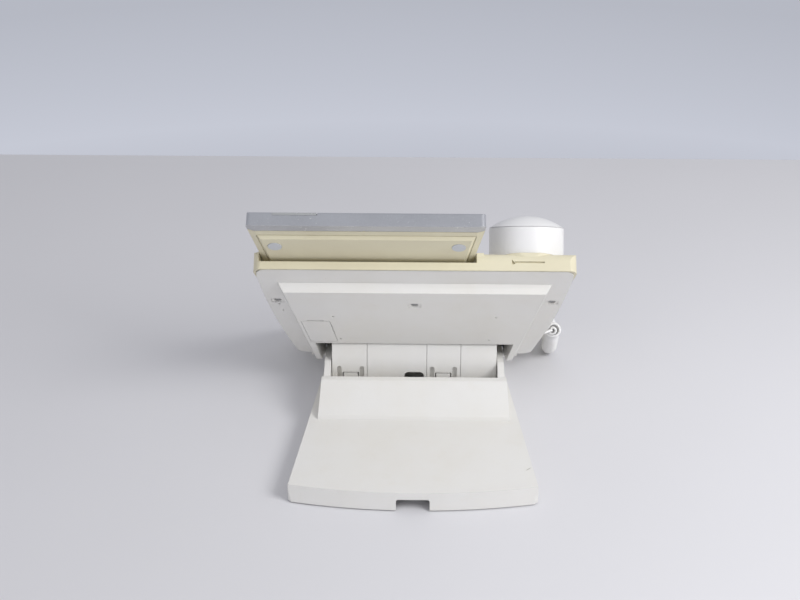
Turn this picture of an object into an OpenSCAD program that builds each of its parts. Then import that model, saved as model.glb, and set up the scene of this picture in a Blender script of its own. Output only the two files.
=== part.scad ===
// Desk telephone terminal: tilting console on a neck, folding display, corded handset.
// Millimetres. Z up, user at -Y, table at Z = 0, handset on the user's left (-X).

/* [Base] */
// Width of the base plate at the rear edge
base_rear_w = 211; // [200:1:220]
// Width of the base plate at the front edge
base_front_w = 159; // [150:1:170]
// Height of the base plate above the table
base_top = 17; // [15:0.5:20]
// Wall thickness of the base shell
base_wall = 2.6; // [2:0.1:3]
// Height of the cable ridge behind the neck
ridge_top = 39.5; // [38:0.5:42]
// Width of the cable notch in the rear wall
notch_w = 28; // [20:1:36]
// Diameter of a rubber foot
foot_d = 14; // [10:1:18]
// Thickness of the steel ballast plate
ballast_t = 2; // [1:0.5:3]

/* [Neck] */
// Outer radius of the neck drum
drum_r = 50; // [48:0.5:50.5]
// Length of the neck drum between the cheeks
drum_w = 152; // [140:1:153]
// Radius of the steel tilt pins
pin_r = 4; // [3:0.25:5]
// Running clearance of a tilt pin in its bush
pin_play = 0.05; // [0.02:0.01:0.1]
// Width of a latch tongue
tongue_w = 13; // [10:1:15]
// Width of a latch slot
slot_w = 4; // [3:0.5:5]

/* [Console] */
// Slope of the keypad face from the table
face_slope = 48; // [44:1:52]
// Width of the console across its top
console_w = 277; // [268:1:280]
// Length of the face from front lip to top edge
face_len = 205; // [200:1:210]
// Wall thickness of the casings
wall = 2.5; // [2:0.1:3]
// Angle between the face and the rear cover
wedge = 14.1; // [13:0.1:15]
// How far the raised rear panel stands proud of the cover
panel_h = 9; // [7:0.5:10]
// Radius of the ear cup recess
ear_seat_r = 33.8; // [33.4:0.1:34.4]

/* [Display] */
// Gap between the display and the wall of the ear cup
display_gap = 2.6; // [2:0.1:6]
// Height of the display above its hinge
display_h = 68; // [60:1:72]
// Thickness of the display over its raised rear panel
display_t = 16; // [14:0.5:16]
// How far the display's rear panel stands proud of its frame
disp_panel_h = 2.5; // [1.5:0.5:3]
// Angle of the display above the keypad face at rest
display_angle = 10; // [8:1:14]
// Width of the display's frame beside the screen
screen_side = 25.5; // [24:0.5:36]
// Height of the visible screen
screen_h = 42; // [30:1:46]

/* [Handset] */
// Radius of the ear end
ear_r = 32.5; // [30:0.5:33]
// Lean of the ear end towards the rear
ear_lean = 16.5; // [12:0.5:20]
// Radius of the mouth end
mouth_r = 24; // [22:0.5:26]
// Width of the grip
grip_w = 38; // [34:1:46]

/* [Keys] */
// Width of a dial key
key_w = 18; // [14:0.5:20]
// Length of a dial key
key_l = 12; // [9:0.5:13]
// Sideways pitch of the dial keys
key_px = 25; // [24:0.5:28]
// Pitch of the dial key rows
key_py = 18; // [17:0.5:20]
// Clearance around a key in its opening
key_gap = 0.4; // [0.3:0.05:0.6]

/* [Cord] */
// Diameter over the curls of the handset cord
coil_d = 15; // [14:0.5:16]
// Diameter of the cord's straight leads
lead_d = 3.4; // [3:0.1:4]

/* [Hidden] */
$fn = 64;
eps = 0.01;
seat = 0.3;                       // gap between pieces that are fitted together
tilt_y = -67.5;                   // tilt axis of the console
tilt_z = 31;
cheek_t = 6;                      // base cheeks beside the neck drum
cheek_x = drum_w / 2 + 0.6;       // inner face of a cheek
cheek_out = cheek_x + cheek_t;
face_q = 40.9;                    // face plane above the tilt axis, along its normal
lip_p = -45;                      // lower end of the face
top_p = lip_p + face_len;         // upper end of the face
seam_q = 24.2;                    // plane between front casing and rear cover
side_r = 640;                     // curve of the console's sides
cover_gap = 2.5;                  // rear cover inset from the front casing
bush_x = cheek_out + 2.4;         // inner face of a tilt bush
bush_w = 7;
bush_r = 7;
cut_top = 112;                    // upper edge of the neck cut-out, down the rear plane
ear_x = 41.2 - console_w / 2;     // handset centre line
ear_p = 122.5;
mouth_p = -11;
mouth_lean = 11;
mouth_q = face_q + 5;
seam_h = 32.9;                    // handset seam above the ear cup's rim
dome_h = 10.8;
disp_out = console_w / 2 + 0.2;   // the display's free end, at its top
disp_in = ear_x + ear_seat_r + 2.3 + display_gap;   // and its end beside the ear cup
display_w = disp_out - disp_in;
disp_x = (disp_out + disp_in) / 2;
disp_p = 140.3;
disp_q = 39.1;
screen_w = display_w - 2 * screen_side;
hinge_r = display_t / 2;
hinge_pin_r = 2.5;
disp_taper = 11;                  // each side, from top to hinge
board_q = 27;                     // underside of the main board
board_t = 1.6;
board_low = -36;                  // its ends, down and up the face
board_high = disp_p - hinge_r - 8.3;
mat_t = 1.5;
flange_t = 1.4;
key_top = face_q + 2.4;
soft_p = disp_p - hinge_r - 15.3; // row of soft keys, below the display
nav_p = soft_p - 25;
pad_x = disp_x;                   // centre of the dial pad
pad_p = nav_p - 30;               // first dial row
vol_p = pad_p - 82;
notch_h = 10;
foot_x = 68;
foot_ys = [-78, 104];

cream = [0.86, 0.84, 0.74];
white = [0.93, 0.93, 0.91];
silver = [0.62, 0.63, 0.65];
dark = [0.12, 0.12, 0.13];
steel = [0.6, 0.6, 0.62];
green = [0.1, 0.35, 0.2];

// ---------- frames and helpers ----------

function unit(v) = v / norm(v);
function half(a, b, c) = unit(unit(a - b) + unit(c - b));
function sine(a, b, c) =
  let (u = unit(a - b), h = half(a, b, c)) abs(u[0] * h[1] - u[1] * h[0]);
function turned(v, t) = [v[0] * cos(t) - v[1] * sin(t), v[0] * sin(t) + v[1] * cos(t)];
// Points of the arc that rounds corner b.
function arc(a, b, c, r, n) =
  let (s = sine(a, b, c), centre = b + half(a, b, c) * r / s,
    from = b + unit(a - b) * r * sqrt(1 - s * s) / s - centre,
    turn = (180 - 2 * asin(s)) * sign(cross(b - a, c - b)))
  [for (j = [0:n]) centre + turned(from, turn * j / n)];
function inset(pts, w) = let (n = len(pts)) [for (i = [0:n - 1])
  let (a = pts[(i + n - 1) % n], b = pts[i], c = pts[(i + 1) % n])
  b + half(a, b, c) * w / sine(a, b, c)];

// Convex outline with a radius at every corner.
module round_poly(pts, rs) {
  m = len(pts);
  polygon([for (i = [0:m - 1])
    each arc(pts[(i + m - 1) % m], pts[i], pts[(i + 1) % m], max(0.2, rs[i]), rs[i] < 4 ? 4 : 8)]);
}

// Extrudes a side profile across the width.
module along_x(w) rotate([90, 0, 90]) linear_extrude(w, center = true) children();

module x_cyl(r, x0, x1) translate([x0, 0, 0]) rotate([0, 90, 0]) cylinder(r = r, h = x1 - x0);

module mirrored() { children(); mirror([1, 0, 0]) children(); }

module in_axis() translate([0, tilt_y, tilt_z]) children();
module in_console() in_axis() rotate([face_slope, 0, 0]) children();
module in_rear() in_console() translate([0, top_p - 1.5, seam_q]) rotate([wedge, 0, 0]) children();
module in_display()
  in_console() translate([disp_x, disp_p, disp_q]) rotate([display_angle, 0, 0]) children();
module in_ear() in_console() translate([ear_x, ear_p, face_q]) rotate([-ear_lean, 0, 0]) children();
module in_mouth()
  in_console() translate([ear_x, mouth_p, mouth_q]) rotate([mouth_lean, 0, 0]) children();

// ---------- base ----------

rear_y = 136.76;                  // rear edge, at the middle of its foot
rear_arc = 548;                   // bow of the rear edge
rear_draft = 0.2;                 // lean of the rear wall, per mm of height
corner_arc = 141;                 // trims the rear corners
foot_h = 1.2;                     // base rim above the table
base_pts = [[-base_rear_w / 2 - 1.4, rear_y + 4], [-base_front_w / 2, -96],
  [base_front_w / 2, -96], [base_rear_w / 2 + 1.4, rear_y + 4]];

// Block in the plan of the base, less a margin, with a bowed and leaning rear wall.
module base_block(w, z0, z1) intersection() {
  translate([0, 0, z0]) linear_extrude(z1 - z0) intersection() {
    round_poly(inset(base_pts, w), [1, 16 - w, 16 - w, 1]);
    translate([0, 30]) circle(r = corner_arc - w, $fn = 256);
  }
  translate([0, rear_y - rear_arc, foot_h - 10])
    cylinder(r1 = rear_arc - w + 10 * rear_draft, r2 = rear_arc - w - 20 * rear_draft, h = 30, $fn = 256);
}

module ridge(w) {
  intersection() {
    along_x(200) round_poly(inset([[36, base_top - 6], [31, base_top + 3], [3, ridge_top],
      [-4, ridge_top], [-12, base_top - 6]], w), [0.5, 5, 4, 3, 0.5]);
    rotate([90, 0, 0]) linear_extrude(200, center = true)
      polygon([[-88 + w, 0], [-cheek_out + w, ridge_top + 20], [cheek_out - w, ridge_top + 20],
        [88 - w, 0]]);
  }
}

module cheek_profile() {
  polygon([[-14, base_top - 3], [2, base_top - 3], [2, ridge_top - 1], [-4, ridge_top],
    [-20, 45], [-26, 45], [tilt_y + 12, tilt_z + 10], [tilt_y - 12, tilt_z + 7],
    [tilt_y - 16, base_top - 3]]);
}

module base_shell() color(white) {
  difference() {
    union() {
      difference() {
        base_block(0, foot_h, base_top);
        base_block(base_wall, -1, base_top - base_wall);
        // sloped top at the front, under the console's lip
        translate([0, -72, base_top]) rotate([7, 0, 0]) translate([-120, -60, 0]) cube([240, 60, 20]);
      }
      intersection() {
        translate([0, -72, base_top]) rotate([7, 0, 0])
          translate([-120, -60, -base_wall]) cube([240, 60, base_wall]);
        base_block(1, foot_h, base_top + 3);
      }
      ridge(0);
      mirrored() translate([cheek_x + cheek_t / 2, 0, 0]) along_x(cheek_t) cheek_profile();
      for (x = [-1, 1], y = foot_ys) translate([x * foot_x, y, foot_h]) cylinder(r = 9, h = 13.4);
      for (x = [-1, 1]) translate([x * 50, tilt_y + 22, 6]) cylinder(r = 5, h = base_top - 7);
    }
    // hollow under the ridge
    difference() {
      translate([0, 0, -1]) ridge(base_wall);
      translate([-100, -60, -10]) cube([200, 120, 10]);
    }
    // cable notch
    translate([-notch_w / 2, 120, -1]) cube([notch_w, 30, notch_h]);
    translate([-notch_w / 2 + 2, 120, -1]) cube([notch_w - 4, 30, notch_h + 2]);
    for (s = [-1, 1]) translate([s * (notch_w / 2 - 2), 120, notch_h - 1]) rotate([-90, 0, 0])
      cylinder(r = 2, h = 30);
    // cable way into the neck
    translate([-12, -40, base_top - 5]) cube([24, 24, 10]);
    in_axis() x_cyl(pin_r, -120, 120);
    for (x = [-1, 1], y = foot_ys) translate([x * foot_x, y, -1])
      cylinder(r = foot_d / 2, h = foot_h + 3.2);
    for (x = [-1, 1]) translate([x * 50, tilt_y + 22, 0]) {
      cylinder(r = 1.5, h = 40);
      cylinder(r = 3.1, h = 9);
    }
  }
}

module ballast_plate() color(steel)
  difference() {
    intersection() {
      base_block(base_wall + 0.4, foot_h + 0.3, foot_h + 0.3 + ballast_t);
      translate([-120, -90, 0]) cube([240, 205, 20]);
    }
    for (x = [-1, 1], y = foot_ys) translate([x * foot_x, y, 0]) cylinder(r = 9.4, h = 8);
    for (x = [-1, 1]) translate([x * 50, tilt_y + 22, 0]) cylinder(r = 5.4, h = 8);
  }

module rubber_feet() color(dark)
  for (x = [-1, 1], y = foot_ys) translate([x * foot_x, y, 0]) {
    cylinder(r = foot_d / 2 - 0.2, h = foot_h + 2);
  }

module base_screws() color(steel)
  for (x = [-1, 1]) translate([x * 50, tilt_y + 22, 0]) {
    translate([0, 0, 7]) cylinder(r = 2.9, h = 2);
    translate([0, 0, 9]) cylinder(r = 1.5, h = base_top - 6.5);
  }

// ---------- neck ----------

drum_t = 3;                       // outer skin of the drum
liner_t = 3;
drum_from = -14;                  // sector of the drum, degrees above level
drum_to = 56;
group_xs = [58.8, -27];           // centres of the latch tongues
latch_xs = [[43.6, drum_w / 2 - 0.1], [-42.8, -11.8]];

module sector(r0, r1) {
  difference() {
    intersection() {
      circle(r = r1);
      polygon([[0, 0], 90 * [cos(drum_from - 1.5), sin(drum_from - 1.5)], [90, 0],
        90 * [cos(25), sin(25)], 90 * [cos(drum_to), sin(drum_to)]]);
    }
    if (r0 > 0) circle(r = r0);
  }
}

// Straight foot of the drum, from the sector's lower end to the base.
module drum_foot(r0, r1) {
  translate([r0 * cos(drum_from), base_top - tilt_z])
    square([(r1 - r0) * cos(drum_from), tilt_z - base_top + r0 * sin(drum_from) + 1]);
}

module latch_window(xc)
  translate([xc - tongue_w / 2 - 1.2, 30, base_top - tilt_z + 4.5])
    cube([tongue_w + 2.4, 40, tilt_z - base_top - 0.7]);

module neck_drum() color(white)
  in_axis() difference() {
    union() {
      along_x(drum_w) {
        sector(drum_r - drum_t - liner_t, drum_r - drum_t);
        drum_foot(drum_r - drum_t - liner_t, drum_r - drum_t);
      }
      difference() {
        along_x(drum_w) {
          sector(drum_r - drum_t - 0.5, drum_r);
          drum_foot(drum_r - drum_t - 0.5, drum_r);
        }
        for (l = latch_xs) translate([l[0] - seat, 0, -40])
          cube([l[1] - l[0] + 2 * seat, 80, 120]);
      }
      // end webs, hubs and foot flange
      mirrored() translate([drum_w / 2 - 1.5, 0, 0]) along_x(3) {
        sector(0, drum_r - drum_t - 1);
        circle(r = 9);
        translate([-8, base_top - tilt_z]) square([53.4, tilt_z - base_top]);
      }
      mirrored() x_cyl(9, drum_w / 2 - 8, drum_w / 2);
      translate([-drum_w / 2, -8, base_top - tilt_z]) cube([drum_w, 53.4, 3]);
    }
    in_neck_bores();
    for (xc = group_xs) latch_window(xc);
    // cable hole
    translate([0, 70, base_top - tilt_z + 3.5]) rotate([90, 0, 0]) linear_extrude(40)
      round_poly([[-9, 0], [9, 0], [9, 14], [-9, 14]], [1, 1, 4, 4]);
    translate([-12, 27, base_top - tilt_z - 1]) cube([24, 16, 5]);
  }

module in_neck_bores() {
  x_cyl(pin_r, -120, 120);
  for (x = [-1, 1]) translate([x * 50, 22, base_top - tilt_z - 1]) cylinder(r = 1.5, h = 10);
}

module latch(i) {
  x0 = latch_xs[i][0];
  x1 = latch_xs[i][1];
  xc = group_xs[i];
  in_axis() difference() {
    translate([(x0 + x1) / 2, 0, 0]) along_x(x1 - x0) {
      sector(drum_r - drum_t + 0.4, drum_r);
      drum_foot(drum_r - drum_t + 0.4, drum_r);
    }
    for (s = [-1, 1]) {
      // open slot with a round top
      translate([xc + s * (tongue_w / 2 + slot_w / 2 + 1.9) - slot_w / 2, 30, -11])
        cube([slot_w, 40, 18]);
      translate([xc + s * (tongue_w / 2 + slot_w / 2 + 1.9), 30, 7]) rotate([-90, 0, 0])
        cylinder(r = slot_w / 2, h = 40);
      // gap beside the tongue
      translate([xc + s * (tongue_w / 2 + 0.5) - 0.5, 30, -11]) cube([1, 40, 13.5]);
    }
    translate([xc - tongue_w / 2 - 1, 30, 2]) cube([tongue_w + 2, 40, 1]);
  }
}

module latch_right() color(white) latch(0);
module latch_left() color(white) latch(1);

module tilt_pins() color(steel) mirrored() in_axis() {
  x_cyl(pin_r, drum_w / 2 - 9, bush_x + bush_w - 0.5);
}

module tilt_bushes() color(dark) mirrored() in_axis() difference() {
  x_cyl(bush_r, bush_x, bush_x + bush_w);
  x_cyl(pin_r + pin_play, bush_x - 1, bush_x + bush_w + 1);
}

// ---------- console casings ----------

// Plan of the console in the face plane: curved sides, then a straight taper to the front.
module console_plan(w) {
  h = console_w / 2;
  intersection() {
    side_disc(w);
    mirror([1, 0, 0]) side_disc(w);
    round_poly(inset([[7 - h, 24], [h - 7, 24], [h - 0.6, top_p + 0.8], [0.6 - h, top_p + 0.8]], w),
      [1, 1, top_corner - w, top_corner - w]);
  }
  round_poly(inset([[27 - h, -63], [h - 27, -63], [h - 20.6, 44], [20.6 - h, 44]], w),
    [30 - w, 30 - w, 2, 2]);
}

// Side curve: widest at side_wide, above the console's top.
side_wide = 207;
top_corner = 10;                  // rounding of the console's upper corners
module side_disc(w)
  translate([console_w / 2 - sqrt(side_r * side_r - pow(side_wide - top_p, 2)), side_wide])
    circle(r = side_r - w, $fn = 256);

module casing_profile(w) {
  round_poly(inset([[lip_p - 14, 33], [lip_p + 1.5, seam_q - 2 - 2 * w],
    [top_p - 0.5, seam_q - 2 - 2 * w],
    [top_p + 0.5, face_q], [lip_p, face_q]], w), [3, 1, 0.5, 8 - w, 5 - w]);
}

module trough() in_console() {
  translate([disp_x, 0, 29.2]) linear_extrude(30) polygon([
    [9.4 - disp_top, disp_p - hinge_r - 1.6], [disp_top - 9.4, disp_p - hinge_r - 1.6],
    [disp_top - 6.4, top_p - 4], [6.4 - disp_top, top_p - 4]]);
  translate([disp_x, 0, 31.2]) linear_extrude(30) polygon([
    [7.4 - disp_top, top_p - 12], [disp_top - 7.4, top_p - 12],
    [disp_top - 5.6, top_p + 6], [5.6 - disp_top, top_p + 6]]);
}

module trough_floor() in_console() intersection() {
  translate([disp_x - display_w / 2, disp_p - hinge_r - 4, 26.8])
    cube([display_w, top_p - disp_p + hinge_r + 3, face_q - 27.5]);
  translate([0, 0, 20]) linear_extrude(40) console_plan(1);
}

module ear_seat_solid() {
  intersection() {
    in_ear() translate([0, 0, -2.8]) cylinder(r = ear_seat_r + 2.3, h = 15);
    in_console() translate([-200, 0, seam_q + 1]) cube([400, top_p - 1, face_q - seam_q - 1]);
  }
  difference() {
    in_ear() translate([0, 0, -16]) cylinder(r = ear_seat_r, h = 16 - seat);
    in_ear() translate([0, 0, -40]) cylinder(r = ear_seat_r - 2.5, h = 40 - 2.8);
    in_console() translate([-200, 0, -60]) cube([400, 200, 60 + face_q - wall]);
  }
}

module mouth_seat_solid() intersection() {
  in_mouth() translate([0, 0, -12]) cylinder(r = mouth_r - 3, h = 12 - seat);
  in_console() translate([0, 0, face_q - 0.5]) linear_extrude(30) console_plan(3);
}

function dial_p(i) = pad_p - floor(i / 3) * key_py;
function dial_x(i) = pad_x + (i % 3 - 1) * key_px;
soft_w = 24;
soft_l = 7;
function soft_x(i) = pad_x + (i - 1.5) * 34;
nav_r = 12.5;
function vol_x(i) = pad_x + (i - 0.5) * 44;

module key_holes() {
  for (i = [0:11]) key_hole(dial_x(i), dial_p(i), key_w, key_l);
  for (i = [0:3]) key_hole(soft_x(i), soft_p, soft_w, soft_l);
  for (i = [0:1]) key_hole(vol_x(i), vol_p, soft_w, soft_l);
  in_console() translate([pad_x, nav_p, 30]) cylinder(r = nav_r + key_gap, h = 20);
}

module key_hole(x, p, w, l) in_console() translate([x, p, 30]) linear_extrude(20)
  round_rect(w + 2 * key_gap, l + 2 * key_gap, 2 + key_gap);

module round_rect(w, l, r)
  round_poly([[-w / 2, -l / 2], [w / 2, -l / 2], [w / 2, l / 2], [-w / 2, l / 2]], [r, r, r, r]);

speaker_x = ear_x - 1.5;
speaker_p = 62;
speaker_r = 19;

module front_casing() color(cream) difference() {
  union() {
    difference() {
      in_console() intersection() {
        along_x(300) casing_profile(0);
        translate([0, 0, seam_q]) linear_extrude(30) console_plan(0);
      }
      in_console() intersection() {
        along_x(300) casing_profile(wall);
        translate([0, 0, seam_q - 1]) linear_extrude(face_q - wall - seam_q + 1) console_plan(wall);
      }
    }
    trough_floor();
    ear_seat_solid();
    mouth_seat_solid();
    // board posts
    in_console() for (x = [pad_x - 86, pad_x + 57], p = [board_low + 6, pad_p + 22])
      translate([x, p, board_q + board_t]) cylinder(r = 3.5, h = face_q - wall - board_q - board_t + 1);
    // display knuckles
    in_console() translate([disp_x, disp_p, disp_q]) mirrored()
      x_cyl(6, display_w / 2 - disp_taper + 2.4, display_w / 2 - 2.5);
  }
  trough_cut();
  in_ear() translate([0, 0, -seat]) cylinder(r = ear_seat_r, h = 60);
  in_ear() translate([0, 0, -18]) cylinder(r = ear_seat_r - 2.7, h = 18 - 2.8);
  key_holes();
  in_display() x_cyl(hinge_pin_r, -display_w / 2 + 4, display_w / 2 - 4);
  // plunger bore
  in_ear() translate([0, -22, -20]) cylinder(r = 3.4, h = 30);
  // speaker slots under the handset
  in_console() for (k = [-3:3]) translate([speaker_x - 9, speaker_p + k * 4 - 0.8, 30])
    cube([18, 1.6, 20]);
  // hands-free microphone hole and lip pocket behind the ear end
  in_console() translate([20, -38, 30]) cylinder(r = 0.8, h = 20);
  in_console() translate([ear_x - 12.2, top_p - 1.4, 31.4]) cube([25, 4, 1.1]);
  in_console() translate([ear_x + 12.4, top_p + 2, 31.4]) rotate([90, 0, 0]) linear_extrude(4)
    polygon([[0, -0.6], [2.8, -1.6], [2.8, 2.8]]);
}

// The display's room, but not the knuckles beside it.
module trough_cut() difference() {
  trough();
  in_console() translate([disp_x, disp_p, disp_q]) mirrored()
    x_cyl(6.01, display_w / 2 - disp_taper + 2.4, display_w / 2);
}

rear_len = 151;                   // rear plane from its top edge to the lower wing edge

// Plan of the rear cover: the casing's plan, less a margin, with rounded corners.
module cover_plan(w) {
  h = console_w / 2 - cover_gap;
  intersection() {
    side_disc(w + cover_gap);
    mirror([1, 0, 0]) side_disc(w + cover_gap);
    round_poly(inset([[9.5 - h, -48], [h - 9.5, -48], [h - 0.6, top_p - 1.5],
      [0.6 - h, top_p - 1.5]], w), [8, 8, top_corner - 1 - w, top_corner - 1 - w]);
    union() {
      round_poly(inset([[24 - h, 17], [h - 24, 17], [h + 24, top_p + 30], [-h - 24, top_p + 30]], w),
        [16, 16, 5, 5]);
      translate([-97 + w, -60]) square([194 - 2 * w, 90]);
    }
  }
}

// Side profile of the rear cover in the console's frame.
module cover_profile(w) {
  dp = rear_len * cos(wedge);
  dq = rear_len * sin(wedge);
  polygon(inset([[top_p - 1.5, seam_q], [top_p - 1.5 - dp, seam_q - dq], [lip_p + 1, seam_q],
    [lip_p + 2, seam_q + 8], [top_p - 1.5, seam_q + 8]], w));
}

panel_t0 = 20.6;                  // bevel of the raised panel starts here
panel_run = 2.3;                  // and runs this far down the plane
panel_hw = console_w / 2 - 20.5;  // half width of the raised panel at its foot
panel_side = 10;                  // taper of its sides, degrees
panel_draft = 28;

module panel_block(w) in_rear() difference() {
  along_x(2 * panel_hw + 20) polygon([[-panel_t0 - w, 4], [-panel_t0 - w, 0],
    [-panel_t0 - panel_run - w, w - panel_h], [-rear_len + 8 + w * 0.6, w - panel_h],
    [-rear_len + 3 + w, w - panel_h + 5], [-rear_len + 1 + w, 4]]);
  for (s = [0, 1]) mirror([s, 0, 0])
    translate([panel_hw - w, -panel_t0, 0]) rotate([0, 0, -panel_side])
      rotate([0, panel_draft, 0]) translate([0, -250, -40]) cube([60, 300, 80]);
}

// Opening for the neck: through the raised panel and the bottom wall.
module neck_cut() {
  in_rear() translate([0, 0, -40]) linear_extrude(80) polygon([
    [-91, -cut_top], [91, -cut_top], [84.8, -rear_len - 5], [-84.8, -rear_len - 5]]);
  in_console() translate([-84.8, -22, -40]) cube([169.6, 42, 62]);
}

screw_x = console_w / 2 - 18;
screw_spots = [[0, -43, panel_h], [-screw_x, -51, 0], [screw_x, -51, 0]];   // x, plane, proud
// Small moulded marks: x, down the plane, proud.
mark_spots = [[-72, -63, panel_h], [72, -63, panel_h], [-68, -104, panel_h], [67, -104, panel_h],
  [screw_x - 1, -57, 0], [screw_x - 3.5, -68, 0]];
door_pts = [[70.2, -109], [94.6, -109], [101, -72], [75.6, -72]];

module rear_cover() color(white) difference() {
  union() {
    difference() {
      union() {
        in_console() intersection() {
          along_x(300) cover_profile(0);
          translate([0, 0, -60]) linear_extrude(60 + seam_q) cover_plan(0);
        }
        panel_block(0);
      }
      difference() {
        union() {
          in_console() intersection() {
            along_x(300) cover_profile(wall);
            translate([0, 0, -60]) linear_extrude(100) cover_plan(wall);
          }
          panel_block(wall);
        }
        // inner walls beside the neck
        in_rear() mirrored() translate([0, 0, -40]) linear_extrude(100) polygon([[90, -cut_top],
          [91 + wall, -cut_top], [84.8 + wall, -rear_len - 5], [84, -rear_len - 5]]);
      }
    }
    // screw bosses
    for (s = screw_spots) in_rear() translate([s[0], s[1], -s[2]]) cylinder(r = 5, h = s[2] + 9);
    // tilt knuckles
    mirrored() in_axis() x_cyl(bush_r + 3, 84.8, bush_x + bush_w + 1);
  }
  neck_cut();
  // screw recesses
  for (s = screw_spots) in_rear() translate([s[0], s[1], -s[2] - 1]) {
    cylinder(r = 3.2, h = 5);
    cylinder(r = 1.3, h = 40);
    translate([-5.5, -3.2, -2]) cube([11, 6.4, 3.6]);
  }
  mirrored() in_axis() {
    x_cyl(bush_r, bush_x, bush_x + bush_w);
    x_cyl(pin_r + 0.5, 80, bush_x + bush_w + 0.4);
  }
  // port door opening, jack openings and small marks
  in_rear() translate([0, 0, -panel_h - 1]) {
    linear_extrude(8) polygon(inset(door_pts, -seat));
    linear_extrude(8) polygon([[71, -107], [75, -78], [74.2, -78], [70.2, -107]]);
    translate([80.7, -71.8, 0]) cube([14.8, 1.3, 2.4]);
  }
  handset_jack_room();
  in_rear() for (m = mark_spots) translate([m[0], m[1], -m[2] - 1]) cylinder(r = 0.9, h = 2.4);
}

module port_door() color(white) in_rear()
  translate([0, 0, -panel_h]) linear_extrude(2) polygon(door_pts);

module cover_screws() color(steel) for (s = screw_spots) in_rear()
  translate([s[0], s[1], -s[2] + 4]) difference() {
    union() {
      translate([0, 0, -2]) cylinder(r = 2.9, h = 2);
      cylinder(r = 1.3, h = 10);
    }
    for (a = [0, 90]) rotate([0, 0, a]) translate([-1.8, -0.4, -2.5]) cube([3.6, 0.8, 1.3]);
  }

// ---------- inside the console ----------

module main_board() color(green) in_console()
  translate([pad_x - 92, board_low, board_q]) cube([152, board_high - board_low, board_t]);

module keypad_mat() color([0.8, 0.8, 0.78]) in_console()
  translate([pad_x - 53, vol_p - 8, board_q + board_t]) cube([106, soft_p - vol_p + 14, mat_t]);

module loudspeaker() color(dark) in_console() translate([speaker_x, speaker_p, face_q - wall]) {
  translate([0, 0, -3]) cylinder(r = speaker_r, h = 3);
  translate([0, 0, -9]) cylinder(r = speaker_r - 5, h = 6.1);
  translate([0, 0, -13]) cylinder(r = 8, h = 4.1);
}

module microphone() color(dark) in_console() translate([20, -38, face_q - wall - 4])
  cylinder(r = 3, h = 4);

jack_p = 24;
jack_q = 5;
jack_x = 41 - console_w / 2;      // inner end of the handset jack

module handset_jack_room() in_console()
  translate([jack_x - 28, jack_p - 5.5, jack_q - 4.5]) cube([30.3, 11, 9]);

module handset_jack() color(dark) in_console() difference() {
  translate([jack_x - 10, jack_p - 5.3, jack_q - 4.3]) cube([12, 10.6, 8.6]);
  translate([jack_x - 12, jack_p - 3.8, jack_q - 3]) cube([11, 7.6, 6]);
}

module line_jack() color(dark) in_console() translate([pad_x - 10, pad_p + 4, board_q - 14])
  difference() {
    cube([16, 16, 14]);
    translate([1.5, -6, 1.5]) cube([13, 19, 10.5]);
  }

module hook_switch() color(dark) in_ear() difference() {
  union() {
    translate([-7, -29, -13.6]) cube([14, 16, 6]);
    mirrored() translate([5.2, -29, -8]) cube([1.8, 16, 5.2]);
  }
  translate([0, -22, -20]) cylinder(r = 2.2, h = 15);
}

hook_travel = 3;

module hook_plunger() color(white) in_ear() translate([0, -22, -7.3]) {
  cylinder(r = 3, h = 7.3 - seat);
  translate([0, 0, -0.01]) cylinder(r = 4.4, h = 1.2);
}

module hinge_pins() color(steel) in_display() mirrored()
  x_cyl(hinge_pin_r, display_w / 2 - disp_taper - 7, display_w / 2 - 4.5);

// ---------- display ----------

disp_top = display_w / 2;
disp_low = disp_top - disp_taper;
rim_y = display_h - 8.5;          // lower edge of the silver rim on the rear
frame_z = disp_panel_h - hinge_r; // rear face of the rim, and of the frame round the panel
panel_y = rim_y - 7.5;            // upper edge of the raised rear panel
panel_in = 6.3;                   // its sides, in from the display's sides
side_lean = atan(disp_taper / (display_h + hinge_r));
pad_at = [disp_top - 22, 38];

module display_plan(w) round_poly(inset([[-disp_low, -hinge_r], [disp_low, -hinge_r],
  [disp_top, display_h], [-disp_top, display_h]], w), [4, 4, 4 - w, 4 - w]);

// Side profile of the slab, with a full-round lower edge about the hinge.
module slab_profile()
  round_poly([[-hinge_r, -hinge_r], [display_h, -hinge_r], [display_h, hinge_r],
    [-hinge_r, hinge_r]], [hinge_r - eps, 2.5, 2.5, hinge_r - eps]);

// All that lies outside a plane along each side, d in from it and leaning towards the rear.
module beside(d, z, a) for (s = [0, 1]) mirror([s, 0, 0])
  translate([disp_top - d, display_h, z]) rotate([0, 0, -side_lean]) rotate([0, a, 0])
    translate([0, -150, -40]) cube([60, 300, 80]);

// Cuts the slab's rear back to its rim and frame, with bevelled sides, round the raised panel.
module frame_cut() difference() {
  union() {
    translate([-150, -20, -40]) cube([300, 120, 40 + frame_z]);
    beside(6, frame_z, 75);
  }
  difference() {
    along_x(300) polygon([[-30, -45], [panel_y - frame_z - 45, -45], [panel_y + 1, frame_z + 1],
      [-30, frame_z + 1]]);
    beside(panel_in, frame_z, 45);
  }
}

// Joint line round the raised panel.
module panel_groove() {
  intersection() {
    difference() {
      beside(panel_in, frame_z, 0);
      beside(panel_in - 0.8, frame_z, 0);
    }
    translate([-150, 3, frame_z - 2]) cube([300, panel_y - 2.5, 2.7]);
  }
  translate([8.7 - disp_top, panel_y, frame_z - 2]) cube([2 * disp_top - 17.4, 0.7, 2.7]);
}

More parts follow.
